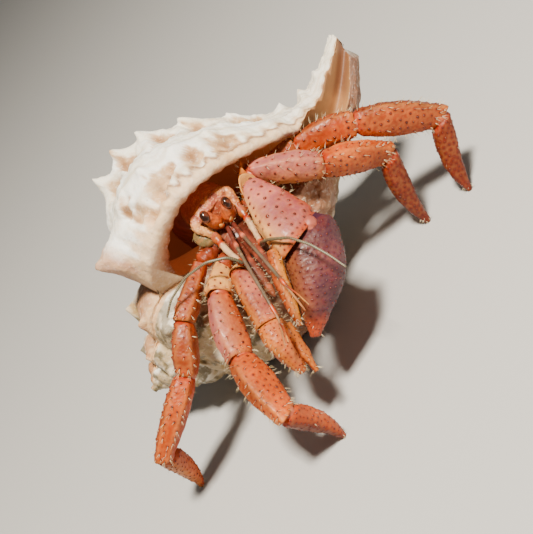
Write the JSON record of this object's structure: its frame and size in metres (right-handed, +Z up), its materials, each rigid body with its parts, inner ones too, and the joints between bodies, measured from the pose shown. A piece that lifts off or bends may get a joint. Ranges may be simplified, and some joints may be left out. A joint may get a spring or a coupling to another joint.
{
  "type": "hermit crab",
  "caption": "Land hermit crab, still and life size, standing half out of a knobbed spindle-shaped sea-snail shell with its large claw hanging before the mouth.",
  "frame": {"origin": "on the floor, under the middle of the whole model's outline seen from above", "axes": "+Z up, the crab faces -Y, its left side and the tip of the shell's canal point to +X"},
  "size_m": [0.1176, 0.0993, 0.0677],
  "materials": {
    "shell": "chalky off-white, orange-brown inside",
    "skin_rose": "hard waxy skin, rose to mauve with dark red dots",
    "skin_orange": "hard waxy skin, orange with dark red dots",
    "skin_purple": "hard waxy skin, purple with dark red dots",
    "mouthpart": "hard skin, maroon",
    "feeler": "ringed, grey-green",
    "eye": "polished black-brown"
  },
  "bodies": {
    "root": {"abdomen": "skin_purple", "antenna_base_left": "skin_orange", "antenna_base_right": "skin_orange", "antenna_left": "feeler", "antenna_right": "feeler", "antennule_left": "skin_orange", "antennule_right": "skin_orange", "claw_left_carpus": "skin_rose", "claw_left_finger": "skin_orange", "claw_left_merus": "skin_rose", "claw_left_palm": "skin_purple", "claw_right_carpus": "skin_rose", "claw_right_finger": "skin_orange", "claw_right_merus": "skin_orange", "claw_right_palm": "skin_orange", "cornea_left": "eye", "cornea_right": "eye", "eyestalk_left": "skin_orange", "eyestalk_right": "skin_orange", "leg_left_front_carpus": "skin_rose", "leg_left_front_dactyl": "skin_orange", "leg_left_front_merus": "skin_orange", "leg_left_front_propodus": "skin_orange", "leg_left_rear_carpus": "skin_rose", "leg_left_rear_dactyl": "skin_orange", "leg_left_rear_merus": "skin_orange", "leg_left_rear_propodus": "skin_orange", "leg_right_front_carpus": "skin_rose", "leg_right_front_dactyl": "skin_orange", "leg_right_front_merus": "skin_orange", "leg_right_front_propodus": "skin_orange", "leg_right_rear_carpus": "skin_rose", "leg_right_rear_dactyl": "skin_orange", "leg_right_rear_merus": "skin_orange", "leg_right_rear_propodus": "skin_orange", "maxilliped_left": "mouthpart", "maxilliped_right": "mouthpart", "shell": "shell", "thorax": "skin_rose"}
  },
  "joints": []
}
